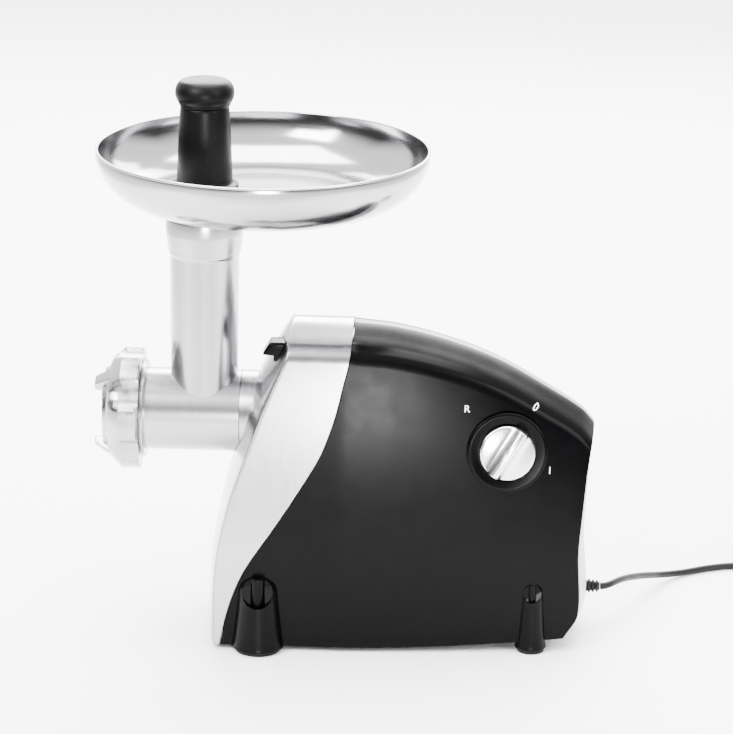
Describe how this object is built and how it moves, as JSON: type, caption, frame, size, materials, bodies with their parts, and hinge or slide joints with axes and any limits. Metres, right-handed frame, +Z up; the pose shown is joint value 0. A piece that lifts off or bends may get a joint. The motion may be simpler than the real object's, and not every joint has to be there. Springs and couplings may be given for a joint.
{
  "type": "electric meat grinder",
  "caption": "Electric meat grinder: low rounded motor housing with a dial, a cast head with a feed tube, a round hopper tray with its plunger, a ring nut, and a mains cord with a plug.",
  "frame": {"origin": "on the surface that the machine stands on, under the middle of its box without the mains cord", "axes": "+Z up; the grinding head and its outlet face -X; the control dial faces -Y; the cord leaves at +X"},
  "size_m": [0.5735, 0.3285, 0.412],
  "materials": {
    "chrome_cover": "chrome-plated plastic, bright with soft haze",
    "tray_aluminium": "spun sheet aluminium, polished",
    "cast_aluminium": "die-cast aluminium, buffed",
    "gearbox_casting": "die-cast aluminium, as cast",
    "chrome_dial": "chrome-plated plastic",
    "black_gloss": "gloss moulded ABS",
    "black_plastic": "fine matt moulded plastic",
    "plunger_black": "satin moulded polypropylene",
    "grey_trim": "satin light grey moulded ABS",
    "rubber": "matt rubber",
    "cord_black": "soft PVC sheath",
    "steel": "ground and brushed",
    "copper": "enamelled copper",
    "brass": "machined",
    "nylon": "natural nylon"
  },
  "bodies": {
    "machine": {"front_cover": "chrome_cover", "right_shell": "black_gloss", "left_shell": "black_gloss", "spine_strip": "grey_trim", "rear_panel": "grey_trim", "base_plate": "black_plastic", "base_screw_1": "steel", "base_screw_2": "steel", "base_screw_3": "steel", "base_screw_4": "steel", "foot_front_left": "black_gloss", "foot_front_right": "black_gloss", "foot_rear_left": "black_gloss", "foot_rear_right": "black_gloss", "pad_front_left": "rubber", "pad_front_right": "rubber", "pad_rear_left": "rubber", "pad_rear_right": "rubber", "dial_dish": "black_gloss", "rotary_switch": "black_plastic", "spring_stop": "black_plastic", "latch_spring": "steel", "head_socket": "cast_aluminium", "gearbox_case": "gearbox_casting", "gearbox_lid": "gearbox_casting", "gear_axle_1": "steel", "gear_axle_2": "steel", "output_bush": "brass", "motor_stator": "steel", "field_coil_upper": "copper", "field_coil_lower": "copper", "motor_bracket": "gearbox_casting", "brush_left": "brass", "brush_right": "brass", "strain_relief": "cord_black", "mains_cord": "cord_black", "cord_coil": "cord_black", "mains_plug": "black_plastic", "plug_pin_left": "brass", "plug_pin_right": "brass"},
    "rotor": {"motor_shaft": "steel", "armature": "steel", "commutator": "copper", "cooling_fan": "black_plastic"},
    "first_gear": {"gear_1": "nylon"},
    "second_gear": {"gear_2": "nylon"},
    "output": {"output_gear": "steel"},
    "head": {"grinder_head": "cast_aluminium", "grinding_plate": "steel"},
    "screw": {"auger": "cast_aluminium", "auger_washer": "nylon", "knife": "steel"},
    "nut": {"ring_nut": "cast_aluminium"},
    "tray": {"hopper_tray": "tray_aluminium"},
    "plunger": {"plunger": "plunger_black", "plunger_knob": "plunger_black"},
    "dial": {"dial_knob": "chrome_dial", "dial_spindle": "brass"},
    "button": {"release_button": "black_gloss", "latch_arm": "steel"}
  },
  "joints": [
    {"name": "rotor_spin", "type": "hinge", "parent": "machine", "child": "rotor", "pos_m": [0, 0, 0.085], "axis": [1, 0, 0], "continuous": true},
    {"name": "first_gear_spin", "type": "hinge", "parent": "machine", "child": "first_gear", "pos_m": [0, 0.00499, 0.10848], "axis": [1, 0, 0], "continuous": true},
    {"name": "second_gear_spin", "type": "hinge", "parent": "machine", "child": "second_gear", "pos_m": [0, -0.0044, 0.13432], "axis": [1, 0, 0], "continuous": true},
    {"name": "output_spin", "type": "hinge", "parent": "machine", "child": "output", "pos_m": [0, 0, 0.164], "axis": [1, 0, 0], "continuous": true},
    {"name": "head_pull", "type": "slide", "parent": "machine", "child": "head", "axis": [-1, 0, 0], "range_m": [0, 0.08]},
    {"name": "auger_spin", "type": "hinge", "parent": "head", "child": "screw", "pos_m": [-0.1, 0, 0.164], "axis": [1, 0, 0], "continuous": true},
    {"name": "nut_turn", "type": "hinge", "parent": "head", "child": "nut", "pos_m": [-0.16, 0, 0.164], "axis": [-1, 0, 0], "range_deg": [0, 360]},
    {"name": "tray_lift", "type": "slide", "parent": "head", "child": "tray", "axis": [0, 0, 1], "range_m": [0, 0.06]},
    {"name": "plunger_slide", "type": "slide", "parent": "tray", "child": "plunger", "axis": [0, 0, 1], "range_m": [0, 0.13]},
    {"name": "dial_turn", "type": "hinge", "parent": "machine", "child": "dial", "pos_m": [0.119, -0.0465, 0.153], "axis": [0.0841, -0.9894, 0.1187], "range_deg": [-82, 78]},
    {"name": "button_press", "type": "slide", "parent": "machine", "child": "button", "axis": [1, 0, 0], "range_m": [0, 0.004], "stiffness_N_per_m": 400, "springref_m": -0.003, "deforming": ["latch_spring"]}
  ],
  "couplings": [
    {"joint": "first_gear_spin", "follows": "rotor_spin", "ratio": -0.23077},
    {"joint": "second_gear_spin", "follows": "rotor_spin", "ratio": 0.059341},
    {"joint": "output_spin", "follows": "rotor_spin", "ratio": -0.015616},
    {"joint": "auger_spin", "follows": "rotor_spin", "ratio": -0.015616}
  ]
}
